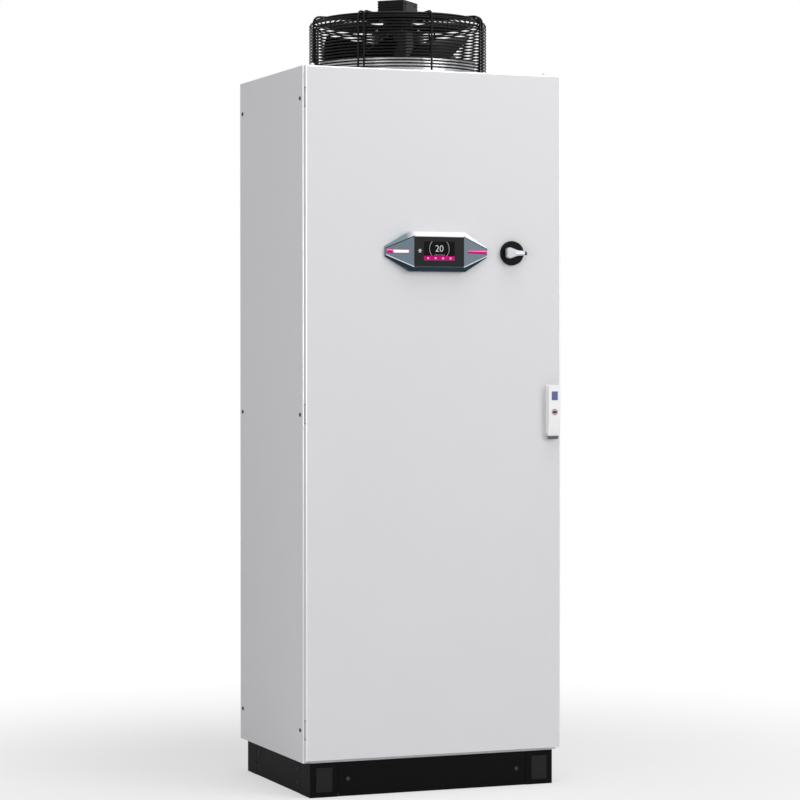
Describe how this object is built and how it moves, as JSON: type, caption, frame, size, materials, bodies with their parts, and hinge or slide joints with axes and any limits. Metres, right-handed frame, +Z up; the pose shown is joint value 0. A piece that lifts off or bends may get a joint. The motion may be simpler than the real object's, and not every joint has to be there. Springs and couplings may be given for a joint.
{
  "type": "industrial chiller",
  "caption": "Floor-standing cabinet chiller with a hinged door, operating panel, rotary main switch, swing handle and caged axial roof fan over a rear condenser; water pump and tank inside.",
  "frame": {"origin": "on the floor, at the centre of the plinth's four anchor holes, under the middle of the cabinet", "axes": "+X to the right seen from the front, +Y from the door to the rear grille, +Z up"},
  "size_m": [0.805, 0.6763, 2.333],
  "materials": {
    "black_plinth": "matte black powder coat",
    "frame_paint": "dip-primed grey",
    "galvanised": "galvanised sheet",
    "grey_paint": "fine textured light grey powder coat",
    "bright_steel": "bright zinc plated",
    "dark_steel": "blackened steel",
    "gland_plastic": "light grey plastic",
    "gasket": "foam",
    "panel_slate": "slate blue-grey satin",
    "panel_glass": "dark display glass",
    "light_magenta": "lit diffuser",
    "switch_black": "black plastic",
    "switch_grip": "silver grey plastic",
    "handle_white": "light grey satin plastic",
    "lock_red": "dull red lock insert",
    "cap_plastic": "black plastic",
    "black_wire": "satin black coating",
    "black_motor": "satin black coating",
    "fan_black": "black painted aluminium",
    "coil_aluminium": "bare fins",
    "copper": "bright copper",
    "duct_plastic": "grey duct plastic",
    "inverter_plastic": "dark grey plastic",
    "device_plastic": "grey device plastic",
    "compressor_paint": "black paint",
    "rubber": "matte rubber",
    "insulation": "closed-cell foam",
    "tank_plastic": "natural moulded plastic",
    "pump_iron": "coated casting",
    "motor_paint": "dark grey paint",
    "pipe_steel": "stainless tube"
  },
  "bodies": {
    "cabinet": {"plinth_corners": "black_plinth", "plinth_end_trims": "black_plinth", "plinth_side_trims": "black_plinth", "plinth_corner_plates": "black_plinth", "frame_posts": "frame_paint", "frame_rails": "frame_paint", "base_plate": "galvanised", "roof_plate": "grey_paint", "roof_bolts": "bright_steel", "side_panel_left": "grey_paint", "side_panel_right": "grey_paint", "panel_screws": "dark_steel", "rear_panel": "grey_paint", "rear_grille": "grey_paint", "water_ports": "bright_steel", "cable_glands": "gland_plastic", "hinge_brackets": "bright_steel", "hinge_pins": "bright_steel", "lock_keepers": "bright_steel", "nozzle_ring": "galvanised", "fan_guard": "black_wire", "fan_motor": "black_motor", "partitions": "galvanised", "condenser_coil": "coil_aluminium", "condenser_headers": "copper", "electrical_tray": "galvanised", "wiring_ducts": "duct_plastic", "inverter": "inverter_plastic", "control_gear": "device_plastic", "compressor": "compressor_paint", "compressor_feet": "rubber", "evaporator": "insulation", "refrigerant_lines": "copper", "tank": "tank_plastic", "pump": "pump_iron", "pump_motor": "motor_paint", "water_lines": "pipe_steel"},
    "door": {"door_panel": "grey_paint", "door_stiffeners": "frame_paint", "door_gasket": "gasket", "door_knuckles": "bright_steel", "panel_housing": "panel_slate", "panel_glass": "panel_glass", "panel_light_bars": "light_magenta", "switch_rosette": "switch_black", "handle_base": "handle_white", "lock_case": "cap_plastic", "rod_guides": "cap_plastic"},
    "switch_knob": {"switch_knob": "switch_black", "switch_grip": "switch_grip"},
    "switch_shaft": {"switch_shaft": "bright_steel"},
    "handle_hub": {"handle_hub": "bright_steel", "lock_pinion": "bright_steel"},
    "handle_lever": {"handle_lever": "handle_white", "lever_pin": "bright_steel"},
    "lock_insert": {"lock_insert": "lock_red"},
    "lock_rod_upper": {"lock_rod_upper": "bright_steel"},
    "lock_rod_lower": {"lock_rod_lower": "bright_steel"},
    "fan_rotor": {"fan_rotor": "fan_black"},
    "tank_cap": {"tank_cap": "cap_plastic"}
  },
  "joints": [
    {"name": "door_hinge", "type": "hinge", "parent": "cabinet", "child": "door", "pos_m": [-0.394, -0.289, 1.1], "axis": [0, 0, -1], "range_deg": [0, 130]},
    {"name": "handle_turn", "type": "hinge", "parent": "door", "child": "handle_hub", "pos_m": [0.37, -0.3, 1.164], "axis": [0, 1, 0], "range_deg": [0, 90]},
    {"name": "handle_lift", "type": "hinge", "parent": "handle_hub", "child": "handle_lever", "pos_m": [0.37, -0.3144, 1.164], "axis": [-1, 0, 0], "range_deg": [0, 40]},
    {"name": "lock_insert_turn", "type": "hinge", "parent": "handle_lever", "child": "lock_insert", "pos_m": [0.37, -0.3244, 1.104], "axis": [0, 1, 0], "range_deg": [0, 90]},
    {"name": "rod_upper_slide", "type": "slide", "parent": "door", "child": "lock_rod_upper", "axis": [0, 0, -1], "range_m": [0, 0.0132]},
    {"name": "rod_lower_slide", "type": "slide", "parent": "door", "child": "lock_rod_lower", "axis": [0, 0, 1], "range_m": [0, 0.0132]},
    {"name": "switch_turn", "type": "hinge", "parent": "door", "child": "switch_knob", "pos_m": [0.24, -0.308, 1.571], "axis": [0, -1, 0], "range_deg": [0, 90]},
    {"name": "shaft_turn", "type": "hinge", "parent": "cabinet", "child": "switch_shaft", "pos_m": [0.24, -0.2, 1.571], "axis": [0, -1, 0], "range_deg": [0, 90]},
    {"name": "fan_spin", "type": "hinge", "parent": "cabinet", "child": "fan_rotor", "pos_m": [0, 0, 2.2], "axis": [0, 0, 1], "continuous": true},
    {"name": "cap_turn", "type": "hinge", "parent": "cabinet", "child": "tank_cap", "pos_m": [-0.195, 0.075, 0.89], "axis": [0, 0, 1], "range_deg": [0, 90]}
  ],
  "couplings": [
    {"joint": "rod_upper_slide", "follows": "handle_turn", "m_per_rad": 0.0084},
    {"joint": "rod_lower_slide", "follows": "handle_turn", "m_per_rad": 0.0084},
    {"joint": "shaft_turn", "follows": "switch_turn", "ratio": 1}
  ]
}
